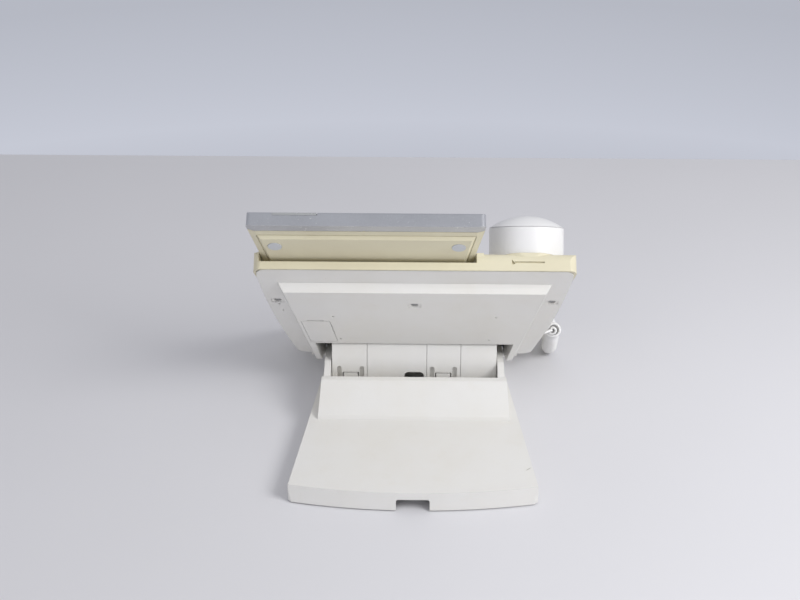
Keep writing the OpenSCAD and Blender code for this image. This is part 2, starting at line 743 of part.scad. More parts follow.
module display_bezel() color(silver) in_display() difference() {
  intersection() {
    linear_extrude(60, center = true) display_plan(0);
    along_x(260) difference() {
      slab_profile();
      translate([-20, -20]) square([20 + rim_y, 20]);
    }
  }
  frame_cut();
  // hollow front, and the rim's own hollow
  translate([2.5 - disp_low, 3 - hinge_r, -10])
    cube([2 * disp_low - 5, rim_y + hinge_r - 2.8, 10 + hinge_r - 2.5]);
  translate([2.5 - disp_low, rim_y - 1, frame_z + 2])
    cube([2 * disp_low - 5, display_h - rim_y - 2, hinge_r - frame_z - 4.5]);
  // screen opening, window seat and lamp seat
  translate([-screen_w / 2, 13, 0]) cube([screen_w, screen_h, 20]);
  translate([-screen_w / 2 - 3, 10, hinge_r - 1.6]) cube([screen_w + 6, screen_h + 6, 5]);
  translate([lamp_x - 1, display_h - 4, hinge_r - 3.6]) cube([lamp_w + 1.2, 10, 10]);
  // moulding nick under the rim
  translate([0.6, rim_y - 1, frame_z - 1]) cube([1.8, 2, 1.8]);
  mirrored() x_cyl(hinge_pin_r + pin_play, disp_low - 8, disp_low + 10);
}

module display_housing() color(cream) in_display() difference() {
  intersection() {
    linear_extrude(60, center = true) display_plan(0);
    along_x(260) intersection() {
      slab_profile();
      translate([-20, -20]) square([20 + rim_y - seat, 20 - eps]);
    }
  }
  frame_cut();
  panel_groove();
  // hollow, deeper behind the raised panel
  translate([2.5 - disp_low, 2, frame_z + 2.2]) cube([2 * disp_low - 5, rim_y - 4.5, 20]);
  translate([11 - disp_low, 4, 2.4 - hinge_r]) cube([2 * disp_low - 22, panel_y - 8, 20]);
  mirrored() x_cyl(hinge_pin_r + pin_play, disp_low - 8, disp_low + 10);
  translate([3 - disp_low, 3, frame_z - 1]) cylinder(r = 0.9, h = 2.2);
  for (s = [-1, 1]) translate([s * pad_at[0], pad_at[1], -hinge_r - 0.1]) cylinder(r = 5.9, h = 0.8);
}

module bumper_pads() color([0.75, 0.76, 0.78]) in_display()
  for (s = [-1, 1]) translate([s * pad_at[0], pad_at[1], -hinge_r - 0.5]) cylinder(r = 5.8, h = 1.2);

module screen_window() color([0.75, 0.8, 0.8]) in_display()
  translate([-screen_w / 2 - 2.8, 10.2, hinge_r - 1.6]) cube([screen_w + 5.6, screen_h + 5.6, 1.4]);

module lcd_panel() color([0.55, 0.62, 0.55]) in_display()
  translate([-screen_w / 2 - 4, 9, hinge_r - 6.5]) cube([screen_w + 8, screen_h + 8, 3.8]);

module display_board() color(green) in_display()
  translate([-screen_w / 2 - 7, 4, hinge_r - 8.3]) cube([screen_w + 14, display_h - 16, 1.6]);

lamp_w = 36;
lamp_x = disp_top - 58;           // inner end of the lamp lens

module lamp_lens() color([0.85, 0.87, 0.85]) in_display() intersection() {
  translate([lamp_x, display_h - 3.8, hinge_r - 3.4]) cube([lamp_w, 10, 10]);
  along_x(300) slab_profile();
}

// ---------- handset ----------

module cap(r, h) {                // spherical cap on a disc
  big = (r * r + h * h) / (2 * h);
  intersection() {
    translate([0, 0, h - big]) sphere(r = big, $fn = 96);
    translate([-r - 1, -r - 1, 0]) cube([2 * r + 2, 2 * r + 2, h + 1]);
  }
}

mouth_h = 18;
back_t = 7.4;                     // the grip's share of the back shell
mouth_dome = 5;
arch_r = 120;                     // curve of the grip's back
arch_c = [70, -31];           // its centre, in the console's side view

module grip(q_drop, r_in) {       // arched bar, from q_drop below the back, r_in thick
  in_console() translate([ear_x, 0, 0]) intersection() {
    along_x(grip_w) difference() {
      translate(arch_c) circle(r = arch_r - q_drop, $fn = 160);
      translate(arch_c) circle(r = arch_r - q_drop - r_in, $fn = 160);
      translate([-300, -200]) square([600, 220]);
    }
    translate([0, 0, 0]) linear_extrude(120)
      translate([-grip_w / 2, mouth_p]) square([grip_w, ear_p - mouth_p + 9]);
  }
}

module ear_zone(z0, z1, grow = 0) in_ear() translate([0, 0, z0]) cylinder(r = ear_r + grow, h = z1 - z0);
module mouth_zone(z0, z1, grow = 0)
  in_mouth() translate([0, 0, z0]) cylinder(r = mouth_r + grow, h = z1 - z0);

module handset_back() color([0.97, 0.97, 0.96]) difference() {
  union() {
    in_ear() translate([0, 0, seam_h]) cap(ear_r, dome_h);
    in_mouth() translate([0, 0, mouth_h]) cap(mouth_r, mouth_dome);
    difference() {
      grip(0, back_t);
      ear_zone(-20, seam_h + 0.3, 0.1);
      mouth_zone(-20, mouth_h + 0.3, 0.1);
    }
  }
  in_ear() translate([0, 0, seam_h - 1]) cylinder(r = ear_r - 5, h = 2.2);
}

module handset_front() color([0.97, 0.97, 0.96]) difference() {
  union() {
    ear_zone(0, seam_h - 0.2);
    mouth_zone(0, mouth_h - 0.2);
    difference() {
      grip(back_t + 0.2, 22.2 - back_t);
      ear_zone(seam_h - 0.2, 80);
      mouth_zone(mouth_h - 0.2, 80);
      in_mouth() translate([-60, -60, -60]) cube([120, 120, 60]);
    }
  }
  in_ear() {
    translate([0, 0, 2.5]) cylinder(r = ear_r - 2.5, h = 60);
    for (a = [0:60:300]) rotate([0, 0, a]) translate([7, 0, -1]) cylinder(r = 1.2, h = 8);
    translate([0, 0, -1]) cylinder(r = 1.2, h = 8);
  }
  in_mouth() {
    translate([0, 0, 2.5]) cylinder(r = mouth_r - 2.5, h = 60);
    for (x = [-4, 0, 4]) translate([x, -4, -1]) cylinder(r = 1, h = 8);
  }
  in_console() translate([ear_x, 0, 0]) intersection() {
    along_x(grip_w - 5) difference() {
      translate(arch_c) circle(r = arch_r - 8, $fn = 160);
      translate(arch_c) circle(r = arch_r - 8.2 - 11.5, $fn = 160);
      translate([-300, -200]) square([600, 220]);
    }
    translate([-50, mouth_p + 6, 0]) cube([100, 95 - mouth_p - 6, 120]);
  }
  in_console() translate([ear_x, 84, 71]) rotate([-90, 0, 0]) cylinder(r = 3, h = 24);
  in_mouth() translate([-5.6, -mouth_r - 3, 5.5]) cube([11.2, 14, 9]);
}

module receiver() color(dark) in_ear() translate([0, 0, 2.5]) {
  cylinder(r = 18, h = 8);
  translate([0, 0, 7.9]) cylinder(r = 10, h = 5);
}

module handset_mic() color(dark) in_mouth() translate([0, 2, 2.5]) cylinder(r = 5, h = 5);

module handset_weight() color(steel) in_console()
  translate([ear_x - 8, arch_c[0] - 13, arch_c[1] + arch_r - 19.4]) cube([16, 26, 6.9]);

module handset_socket() color(dark) in_mouth() difference() {
  translate([-5.4, -mouth_r + 0.6, 5.7]) cube([10.8, 12, 8.6]);
  translate([-3.9, -mouth_r - 1, 7.1]) cube([7.8, 12, 5.8]);
}

// ---------- handset cord ----------

function lift(v) = [v[0], tilt_y + v[1] * cos(face_slope) - v[2] * sin(face_slope),
  tilt_z + v[1] * sin(face_slope) + v[2] * cos(face_slope)];

jack_out = lift([jack_x - 13, jack_p, jack_q]);
sock_out = lift([ear_x, mouth_p - (mouth_r + 6) * cos(mouth_lean) - 10 * sin(mouth_lean),
  mouth_q + 10 * cos(mouth_lean) - (mouth_r + 6) * sin(mouth_lean)]);

coil_r = coil_d / 2;
lie = coil_r + 0.4;
// Centre line of the curled part, by hand: down to the table, forward, and round to the front.
coil_way = [[-131, -62, 54], [-132, -76, 42], [-133, -90, 22], [-134, -104, lie], [-136, -120, lie],
  [-137, -136, lie], [-136, -152, lie], [-129, -166, lie], [-117, -173, lie], [-106, -170, lie],
  [-99, -161, lie + 2]];
sock_dir = lift([0, -cos(mouth_lean), -sin(mouth_lean)]) - lift([0, 0, 0]);
jack_lead = [jack_out, jack_out + [-2, 0, 0], jack_out + [-6, 0, 0], [-126, -60, 56], coil_way[0]];
sock_lead = [coil_way[len(coil_way) - 1], sock_out + 16 * sock_dir + [0, -4, -2],
  sock_out + 6 * sock_dir, sock_out + 2 * sock_dir, sock_out];

// Smooth point k of a hand-made way (Catmull-Rom, s steps between points).
function at(way, i) = way[max(0, min(len(way) - 1, i))];
function smooth(way, s) = [for (i = [0:len(way) - 2]) for (j = [0:s - (i == len(way) - 2 ? 0 : 1)])
  let (t = j / s, a = at(way, i - 1), b = at(way, i), c = at(way, i + 1), d = at(way, i + 2))
  0.5 * (2 * b + (c - a) * t + (2 * a - 5 * b + 4 * c - d) * t * t
    + (3 * b - a - 3 * c + d) * t * t * t)];

// Tube with flat ends along a list of points.
module tube(way, r, n) {
  m = len(way);
  dirs = [for (i = [0:m - 1]) unit(way[min(m - 1, i + 1)] - way[max(0, i - 1)])];
  side = [for (d = dirs) unit(cross(d, abs(d[2]) > 0.9 ? [1, 0, 0] : [0, 0, 1]))];
  pts = [for (i = [0:m - 1]) for (k = [0:n - 1]) let (u = side[i], v = cross(side[i], dirs[i]))
    way[i] + r * (cos(360 * k / n) * u + sin(360 * k / n) * v)];
  polyhedron(points = pts, faces = concat([[for (k = [0:n - 1]) k]],
    [[for (k = [n - 1:-1:0]) (m - 1) * n + k]],
    [for (i = [0:m - 2]) for (k = [0:n - 1])
      [i * n + k, (i + 1) * n + k, (i + 1) * n + (k + 1) % n, i * n + (k + 1) % n]]));
}

module handset_cord() color([0.95, 0.95, 0.94]) {
  tube(smooth(coil_way, 2), coil_r, 12);
  tube(smooth(jack_lead, 3), lead_d / 2, 8);
  tube(smooth(sock_lead, 3), lead_d / 2, 8);
}

module plug_console() color([0.85, 0.87, 0.85]) in_console()
  translate([jack_x - 13, jack_p - 3.6, jack_q - 2.8]) cube([11.5, 7.2, 5.6]);

module plug_handset() color([0.85, 0.87, 0.85]) in_mouth()
  translate([-3.7, -mouth_r - 6, 7.3]) cube([7.4, 16, 5.4]);

// ---------- keys ----------

module key(x, p, w, l) in_console() translate([x, p, 0]) {
  translate([0, 0, face_q - wall - seat - flange_t]) linear_extrude(flange_t)
    round_rect(w + 2, l + 2, 2.5);
  translate([0, 0, face_q - wall - seat - 0.1]) linear_extrude(key_top - face_q + wall + seat + 0.1)
    round_rect(w, l, 2);
  translate([0, 0, board_q + board_t + mat_t + 1.9]) cylinder(r = 2.2, h = 5);
}

module dial(i) color([0.9, 0.9, 0.88]) key(dial_x(i), dial_p(i), key_w, key_l);
module soft(i) color([0.7, 0.7, 0.71]) key(soft_x(i), soft_p, soft_w, soft_l);
module volume(i) color([0.7, 0.7, 0.71]) key(vol_x(i), vol_p, soft_w, soft_l);

module nav_key() color([0.7, 0.7, 0.71]) in_console() translate([pad_x, nav_p, 0]) {
  translate([0, 0, face_q - wall - seat - flange_t]) cylinder(r = nav_r + 1.2, h = flange_t);
  difference() {
    translate([0, 0, face_q - wall - seat - 0.1])
      cylinder(r = nav_r, h = key_top - face_q + wall + seat + 0.1);
    translate([0, 0, key_top + 18.6]) sphere(r = 20, $fn = 96);
  }
  translate([0, 0, board_q + board_t + mat_t + 1.9]) cylinder(r = 2.2, h = 5);
}

module dial_1() dial(0);
module dial_2() dial(1);
module dial_3() dial(2);
module dial_4() dial(3);
module dial_5() dial(4);
module dial_6() dial(5);
module dial_7() dial(6);
module dial_8() dial(7);
module dial_9() dial(8);
module dial_star() dial(9);
module dial_0() dial(10);
module dial_hash() dial(11);
module soft_1() soft(0);
module soft_2() soft(1);
module soft_3() soft(2);
module soft_4() soft(3);
module volume_down() volume(0);
module volume_up() volume(1);

base_shell();
ballast_plate();
rubber_feet();
base_screws();
neck_drum();
latch_right();
latch_left();
tilt_pins();
tilt_bushes();
front_casing();
rear_cover();
port_door();
cover_screws();
main_board();
keypad_mat();
loudspeaker();
microphone();
handset_jack();
line_jack();
hook_switch();
hook_plunger();
hinge_pins();
display_bezel();
display_housing();
screen_window();
lcd_panel();
display_board();
lamp_lens();
bumper_pads();
handset_back();
handset_front();
receiver();
handset_mic();
handset_weight();
handset_socket();
handset_cord();
plug_console();
plug_handset();
dial_1();
dial_2();
dial_3();
dial_4();
dial_5();
dial_6();
dial_7();
dial_8();
dial_9();
dial_star();
dial_0();
dial_hash();
soft_1();
soft_2();
soft_3();
soft_4();
nav_key();
volume_down();
volume_up();
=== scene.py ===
"""Dresses the desk telephone: moulded finishes, a curled handset cord, key legends and a stage."""

import math

import bmesh
import bpy
from mathutils import Matrix, Vector


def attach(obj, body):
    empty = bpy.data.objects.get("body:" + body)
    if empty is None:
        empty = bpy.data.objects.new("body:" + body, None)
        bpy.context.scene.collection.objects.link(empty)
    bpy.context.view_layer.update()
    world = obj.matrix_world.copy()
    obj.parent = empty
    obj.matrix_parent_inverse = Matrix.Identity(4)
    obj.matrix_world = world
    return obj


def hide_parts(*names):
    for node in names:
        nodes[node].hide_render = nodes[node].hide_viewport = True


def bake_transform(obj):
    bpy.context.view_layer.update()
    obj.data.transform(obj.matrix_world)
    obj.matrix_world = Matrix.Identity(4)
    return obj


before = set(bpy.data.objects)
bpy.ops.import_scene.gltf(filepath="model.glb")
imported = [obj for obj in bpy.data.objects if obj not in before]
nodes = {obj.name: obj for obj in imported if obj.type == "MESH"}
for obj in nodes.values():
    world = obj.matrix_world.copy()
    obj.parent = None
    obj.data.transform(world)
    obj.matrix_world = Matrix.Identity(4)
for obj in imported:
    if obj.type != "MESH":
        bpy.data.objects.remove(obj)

bl_info = {
    "name": "Desk telephone dressing",
    "version": (1, 0, 0),
    "blender": (4, 5, 0),
    "location": "View3D > Sidebar > Telephone",
    "description": "Finishes, cord, legends and stage for a tilting desk telephone",
    "category": "Object",
}

MM = 0.001

# The console's side frame, in mm: the tilt axis, and the keypad face's slope and distance from that axis.
TILT_Y, TILT_Z = -67.5, 31.0
FACE_SLOPE = math.radians(48)
FACE_Q = 40.9
KEY_TOP = FACE_Q + 2.4
# The handset, in mm: its centre line, and the place, lean and radius of its mouth end.
EAR_X = -97.3
MOUTH_P, MOUTH_Q = -11.0, FACE_Q + 5
MOUTH_LEAN = math.radians(11)
MOUTH_R = 24.0


def on_console(x, p, q):
    """A point given sideways, up the keypad face and out of it, in the row frame."""
    c, s = math.cos(FACE_SLOPE), math.sin(FACE_SLOPE)
    return Vector((x, TILT_Y + p * c - q * s, TILT_Z + p * s + q * c)) * MM


def in_mouth(x, y, z):
    """A point in the frame of the handset's mouth end, whose z is the cup's axis."""
    c, s = math.cos(MOUTH_LEAN), math.sin(MOUTH_LEAN)
    return on_console(EAR_X + x, MOUTH_P + y * c - z * s, MOUTH_Q + y * s + z * c)


# ---------- materials ----------


class Finish:
    """A material's node tree, with short calls for the nodes that the finishes share."""

    def __init__(self, name):
        self.material = bpy.data.materials.new(name)
        self.material.use_nodes = True
        self.tree = self.material.node_tree
        self.shader = self.tree.nodes["Principled BSDF"]
        self.place = self.add("ShaderNodeTexCoord").outputs["Object"]

    def add(self, kind, **settings):
        node = self.tree.nodes.new(kind)
        for key, value in settings.items():
            setattr(node, key, value)
        return node

    def link(self, out, into):
        self.tree.links.new(out, into)

    def noise(self, size_mm, detail=3.0, rough=0.55, stretch=(1, 1, 1)):
        """Noise whose features are about size_mm across."""
        mapping = self.add("ShaderNodeMapping")
        mapping.inputs["Scale"].default_value = stretch
        self.link(self.place, mapping.inputs["Vector"])
        node = self.add("ShaderNodeTexNoise")
        node.inputs["Scale"].default_value = 1000 / size_mm
        node.inputs["Detail"].default_value = detail
        node.inputs["Roughness"].default_value = rough
        self.link(mapping.outputs["Vector"], node.inputs["Vector"])
        return node.outputs["Fac"]

    def stroke(self, middle, half, turn):
        """1 on a small stroke and 0 off it, from its middle and half sizes in mm and its turn in the plan."""
        mapping = self.add("ShaderNodeMapping", vector_type="TEXTURE")
        mapping.inputs["Location"].default_value = [c * MM for c in middle]
        mapping.inputs["Rotation"].default_value = (0, 0, turn)
        mapping.inputs["Scale"].default_value = [c * MM for c in half]
        self.link(self.place, mapping.inputs["Vector"])
        reach = self.add("ShaderNodeVectorMath", operation="LENGTH")
        self.link(mapping.outputs["Vector"], reach.inputs[0])
        return self.ramp(reach.outputs["Value"], (0.55, 1.0), (1.0, 0.0))

    def ramp(self, value, *stops):
        """A colour ramp from (place, colour) stops; a colour is grey when it is one number."""
        node = self.add("ShaderNodeValToRGB")
        items = node.color_ramp.elements
        while len(items) < len(stops):
            items.new(0.5)
        for item, (where, colour) in zip(items, stops):
            item.position = where
            item.color = (*([colour] * 3 if isinstance(colour, (int, float)) else colour), 1)
        self.link(value, node.inputs["Fac"])
        return node.outputs["Color"]

    def mix(self, share, low, high, kind="MIX"):
        """low and high mixed by share; each may be a socket or a colour."""
        node = self.add("ShaderNodeMix", data_type="RGBA", blend_type=kind)
        for value, socket in ((share, node.inputs[0]), (low, node.inputs[6]), (high, node.inputs[7])):
            if isinstance(value, bpy.types.NodeSocket):
                self.link(value, socket)
            elif isinstance(value, (int, float)):
                socket.default_value = value
            else:
                socket.default_value = (*value, 1)
        return node.outputs[2]

    def math(self, kind, a, b):
        node = self.add("ShaderNodeMath", operation=kind)
        for value, socket in ((a, node.inputs[0]), (b, node.inputs[1])):
            if isinstance(value, bpy.types.NodeSocket):
                self.link(value, socket)
            else:
                socket.default_value = value
        return node.outputs[0]

    def bump(self, height, depth_mm, normal=None):
        node = self.add("ShaderNodeBump")
        node.inputs["Strength"].default_value = 1
        node.inputs["Distance"].default_value = depth_mm * MM
        self.link(height, node.inputs["Height"])
        if normal is not None:
            self.link(normal, node.inputs["Normal"])
        return node.outputs["Normal"]

    def rounded(self, radius_mm):
        """The surface normal with its moulded edges softened."""
        node = self.add("ShaderNodeBevel")
        node.samples = 4
        node.inputs["Radius"].default_value = radius_mm * MM
        return node.outputs["Normal"]

    def edge_wear_and_highlight(self, radius_mm):
        """White on edges, from how far the softened normal turns: edge wear in part, and in part a painted
        highlight along the edges.
        """
        geometry = self.add("ShaderNodeNewGeometry")
        dot = self.add("ShaderNodeVectorMath", operation="DOT_PRODUCT")
        self.link(geometry.outputs["Normal"], dot.inputs[0])
        self.link(self.rounded(radius_mm), dot.inputs[1])
        return self.ramp(dot.outputs["Value"], (0.86, 1.0), (0.995, 0.0))

    def set(self, **values):
        for key, value in values.items():
            socket = self.shader.inputs[key.replace("_", " ")]
            if isinstance(value, bpy.types.NodeSocket):
                self.link(value, socket)
            else:
                socket.default_value = value


def shade(colour, by):
    return tuple(max(0.0, min(1.0, c * by)) for c in colour)


def between(a, b, share):
    return tuple(x * (1 - share) + y * share for x, y in zip(a, b))


def moulded(name, colour, soil, rough, grain_mm, grain_depth, edge_mm, dirt, aged=0.3, strokes=()):
    """Moulded plastic with a fine spark grain, slow yellowing, handling marks and soft edges."""
    s = Finish(name)
    slow = s.ramp(s.noise(70, 4), (0.38, 0.0), (0.68, 1.0))
    base = s.mix(slow, colour, between(colour, soil, aged))
    blotch = s.ramp(s.noise(14, 5, 0.62), (0.56, 0.0), (0.74, 1.0))
    base = s.mix(s.math("MULTIPLY", blotch, dirt * 0.4), base, soil)
    specks = s.ramp(s.noise(1.6, 2, 0.5), (0.735, 0.0), (0.755, 1.0))
    base = s.mix(s.math("MULTIPLY", specks, dirt * 0.55), base, shade(soil, 0.55))
    for stroke in strokes:
        base = s.mix(s.math("MULTIPLY", s.stroke(*stroke), 0.45), base, shade(soil, 0.3))
    s.set(Base_Color=base)
    smears = s.noise(30, 6, 0.6, (1, 0.25, 1))
    s.set(Roughness=s.math("ADD", s.math("MULTIPLY", smears, 0.16), rough - 0.08))
    grain = s.noise(grain_mm, 2, 0.5)
    s.set(Normal=s.bump(grain, grain_depth, s.rounded(edge_mm)))
    s.set(Specular_IOR_Level=0.42)
    return s.material


def worn_silver(name, colour):
    """Silver-grey paint over plastic, with fine metal flake, pale chips and scattered specks, and edges paled
    partly by wear and partly as a painted highlight.
    """
    s = Finish(name)
    flake = s.noise(0.35, 2, 0.7)
    base = s.mix(s.ramp(flake, (0.3, 0.0), (0.7, 1.0)), shade(colour, 0.88), shade(colour, 1.1))
    cloud = s.ramp(s.noise(26, 4, 0.6), (0.4, 0.0), (0.7, 1.0))
    base = s.mix(s.math("MULTIPLY", cloud, 0.35), base, shade(colour, 1.22))
    chips = s.ramp(s.noise(2.2, 4, 0.68), (0.63, 0.0), (0.66, 1.0))
    area = s.ramp(s.noise(40, 2), (0.46, 0.0), (0.58, 1.0))
    chip = s.math("MULTIPLY", chips, area)
    # Pale edges: partly paint worn off the edges, partly a painted highlight along them.
    edge = s.math("MULTIPLY", s.edge_wear_and_highlight(0.8), s.ramp(s.noise(5, 4, 0.7), (0.34, 0.0), (0.54, 1.0)))
    wear_and_highlight = s.math("MAXIMUM", chip, s.math("MULTIPLY", edge, 0.8))
    base = s.mix(wear_and_highlight, base, (0.76, 0.76, 0.75))
    s.set(Base_Color=base)
    s.set(Metallic=0.72)
    s.set(Roughness=s.math("ADD", s.math("MULTIPLY", flake, 0.14), 0.3))
    s.set(Normal=s.bump(s.math("SUBTRACT", s.noise(0.8, 2), wear_and_highlight), 0.015, s.rounded(0.6)))
    return s.material


def rubber(name, colour):
    s = Finish(name)
    dust = s.ramp(s.noise(9, 5, 0.65), (0.45, 0.0), (0.75, 1.0))
    s.set(Base_Color=s.mix(s.math("MULTIPLY", dust, 0.4), colour, between(colour, (0.5, 0.48, 0.45), 0.4)))
    s.set(Roughness=s.math("ADD", s.math("MULTIPLY", s.noise(3, 3), 0.2), 0.6))
    s.set(Normal=s.bump(s.noise(0.9, 3), 0.02, s.rounded(0.5)))
    return s.material


def plated(name, colour):
    """Zinc plating: a metal with a fine drawn grain and darker stains."""
    s = Finish(name)
    drawn = s.noise(1.2, 3, 0.6, (0.15, 1, 1))
    stain = s.ramp(s.noise(7, 4, 0.6), (0.45, 0.0), (0.7, 1.0))
    s.set(Base_Color=s.mix(s.math("MULTIPLY", stain, 0.45), colour, shade(colour, 0.62)))
    s.set(Roughness=s.math("ADD", s.math("MULTIPLY", drawn, 0.2), 0.26))
    s.set(Metallic=0.95, Normal=s.bump(drawn, 0.008, s.rounded(0.25)))
    return s.material


def resist(name, colour):
    """A circuit board's solder resist, with copper tracks showing through as lighter lanes."""
    s = Finish(name)
    lanes = s.add("ShaderNodeTexBrick", offset=0.5)
    lanes.inputs["Scale"].default_value = 90
    lanes.inputs["Mortar Size"].default_value = 0.035
    lanes.inputs["Color1"].default_value = (*colour, 1)
    lanes.inputs["Color2"].default_value = (*shade(colour, 0.8), 1)
    lanes.inputs["Mortar"].default_value = (*between(colour, (0.3, 0.45, 0.15), 0.45), 1)
    s.link(s.place, lanes.inputs["Vector"])
    s.set(Base_Color=lanes.outputs["Color"])
    s.set(Roughness=s.math("ADD", s.math("MULTIPLY", s.noise(4, 3), 0.15), 0.25))
    s.set(Normal=s.bump(lanes.outputs["Fac"], 0.03, s.rounded(0.2)))
    return s.material


def clear(name, colour, rough, haze, through=0.8):
    """Clear plastic that keeps a little of its own haze, so it reads as a solid."""
    s = Finish(name)
    smear = s.ramp(s.noise(22, 5, 0.6), (0.45, 0.0), (0.8, 1.0))
    s.set(Base_Color=s.mix(s.math("MULTIPLY", smear, 0.3), colour, shade(colour, 0.9)))
    s.set(Roughness=s.math("ADD", s.math("MULTIPLY", smear, haze), rough))
    s.set(Transmission_Weight=through, IOR=1.49, Normal=s.rounded(0.3))
    return s.material


def liquid_crystal(name, colour):
    """A reflective display: a grey-green field with the faint grid of its dots."""
    s = Finish(name)
    dots = s.add("ShaderNodeTexVoronoi", distance="CHEBYCHEV")
    dots.inputs["Scale"].default_value = 1400
    dots.inputs["Randomness"].default_value = 0
    s.link(s.place, dots.inputs["Vector"])
    cell = s.ramp(dots.outputs["Distance"], (0.4, 1.0), (0.48, 0.82))
    field = s.mix(s.ramp(s.noise(50, 2), (0.3, 0.0), (0.7, 1.0)), colour, shade(colour, 1.14))
    s.set(Base_Color=s.mix(1.0, field, cell, "MULTIPLY"))
    s.set(Roughness=s.math("ADD", s.math("MULTIPLY", s.noise(12, 3), 0.08), 0.12))
    s.set(Normal=s.rounded(0.2))
    return s.material


def cord_plastic(name, colour):
    """Glossy PVC jacket with handling soil in patches."""
    s = Finish(name)
    soil = s.ramp(s.noise(16, 4, 0.6), (0.42, 0.0), (0.72, 1.0))
    s.set(Base_Color=s.mix(s.math("MULTIPLY", soil, 0.5), colour, between(colour, (0.6, 0.56, 0.48), 0.3)))
    s.set(Roughness=s.math("ADD", s.math("MULTIPLY", s.noise(5, 3), 0.15), 0.3))
    s.set(Normal=s.bump(s.noise(0.7, 2), 0.01))
    s.set(Coat_Weight=0.15)
    return s.material


# ---------- settings ----------


def colour_property(name, value, text):
    return bpy.props.FloatVectorProperty(
        name=name, description=text, subtype="COLOR", size=3, min=0, max=1, default=value
    )


def length_property(name, value, text, low=0.0, high=1.0):
    return bpy.props.FloatProperty(
        name=name, description=text, subtype="DISTANCE", unit="LENGTH", default=value, min=low, max=high
    )


class PhoneFinishes(bpy.types.PropertyGroup):
    """Colours of the mouldings and fittings."""

    white: colour_property("White shell", (0.80, 0.79, 0.765), "Base, neck, latches and rear cover")
    ear_white: colour_property("Handset", (0.86, 0.855, 0.85), "Handset shells")
    cream: colour_property("Cream shell", (0.765, 0.715, 0.53), "Front casing and display housing")
    soil: colour_property("Ageing", (0.62, 0.55, 0.38), "Colour that the plastic turns to with age")
    silver: colour_property("Silver paint", (0.52, 0.525, 0.54), "Display frame")
    key: colour_property("Dial keys", (0.74, 0.73, 0.70), "Dial keys")
    key_grey: colour_property("Function keys", (0.40, 0.41, 0.42), "Soft, volume and navigation keys")
    legend: colour_property("Legends", (0.06, 0.065, 0.08), "Printed figures on the keys")
    dark: colour_property("Dark plastic", (0.035, 0.035, 0.04), "Sockets, switch and transducers")
    pad: colour_property("Bumper pads", (0.62, 0.64, 0.67), "Soft pads on the display's back")
    steel: colour_property("Zinc plate", (0.60, 0.60, 0.61), "Screws, pins and plates")
    screen: colour_property("Display field", (0.25, 0.29, 0.25), "Reflective display panel")


class PhoneCord(bpy.types.PropertyGroup):
    """Sizes of the handset cord."""

    wire: length_property("Wire", 0.0024, "Diameter of the cord's wire", 0.0015, 0.004)
    curl: length_property("Curl", 0.0150, "Diameter over the curls", 0.010, 0.018)
    pitch: length_property("Pitch", 0.0029, "Spacing of the curls at rest", 0.0025, 0.006)
    steps: bpy.props.IntProperty(
        name="Points per curl", description="Points along each curl", default=18, min=12, max=32
    )
    colour: colour_property("Jacket", (0.87, 0.868, 0.86), "Cord jacket")


class PhoneLegends(bpy.types.PropertyGroup):
    """Figures on the dial keys."""

    height: length_property("Figure height", 0.0062, "Height of a printed figure", 0.003, 0.009)
    relief: length_property("Relief", 0.00012, "How far the print stands off the key", 0.00005, 0.0004)


class PhoneStage(bpy.types.PropertyGroup):
    """Table, backdrop, lamps and camera."""

    table: colour_property("Table", (0.735, 0.73, 0.75), "Table top")
    backdrop: colour_property("Backdrop", (0.52, 0.54, 0.61), "Wall beyond the table")
    table_edge: length_property(
        "Table edge", -0.565, "Where the table ends beyond the object, as the camera sees it", -2.0, 0.0
    )
    key_power: bpy.props.FloatProperty(
        name="Key lamp", description="Power of the large soft lamp", subtype="POWER", default=11.0, min=0
    )
    fill_power: bpy.props.FloatProperty(
        name="Fill lamp", description="Power of the weak second lamp", subtype="POWER", default=2.5, min=0
    )
    world: bpy.props.FloatProperty(
        name="Room light", description="Strength of the light from all round", default=0.54, min=0, max=1
    )
    lens: bpy.props.FloatProperty(
        name="Lens", description="Focal length", subtype="DISTANCE_CAMERA", unit="CAMERA", default=55.28
    )


# The nodes that take each finish.
SLOTS = {
    "white": ["base_shell", "neck_drum", "latch_right", "latch_left", "rear_cover", "port_door",
              "hook_plunger"],
    "cream": ["front_casing", "display_housing"],
    "silver": ["display_bezel"],
    "handset": ["handset_back", "handset_front"],
    "steel": ["ballast_plate", "base_screws", "tilt_pins", "cover_screws", "hinge_pins", "handset_weight"],
    "rubber": ["rubber_feet"],
    "pad": ["bumper_pads"],
    "nylon": ["tilt_bushes"],
    "board": ["main_board", "display_board"],
    "mat": ["keypad_mat"],
    "dark": ["loudspeaker", "microphone", "handset_jack", "line_jack", "hook_switch", "receiver",
             "handset_mic", "handset_socket"],
    "window": ["screen_window"],
    "screen": ["lcd_panel"],
    "lamp": ["lamp_lens"],
    "plug": ["plug_console", "plug_handset"],
    "cord": ["handset_cord"],
    "key": [f"dial_{name}" for name in (*range(1, 10), "star", 0, "hash")],
    "key_grey": ["soft_1", "soft_2", "soft_3", "soft_4", "nav_key", "volume_down", "volume_up"],
}


# Scratches on the white shell: middle, half sizes in mm, and turn in the plan.
SCRATCHES = [((-98.2, 100.1, 17), (3.8, 0.6, 4), math.radians(41))]

# Colours that no setting holds: inner parts, clear plastics, and the soil on dark and grey ones.
NYLON, NYLON_SOIL = (0.10, 0.10, 0.105), (0.2, 0.2, 0.2)
SOLDER_RESIST = (0.03, 0.17, 0.07)
SILICONE = (0.55, 0.55, 0.52)
WINDOW, LAMP_LENS, PLUG = (0.92, 0.94, 0.93), (0.55, 0.56, 0.56), (0.86, 0.88, 0.86)
DARK_SOIL, GREY_KEY_SOIL = (0.12, 0.11, 0.1), (0.3, 0.29, 0.26)


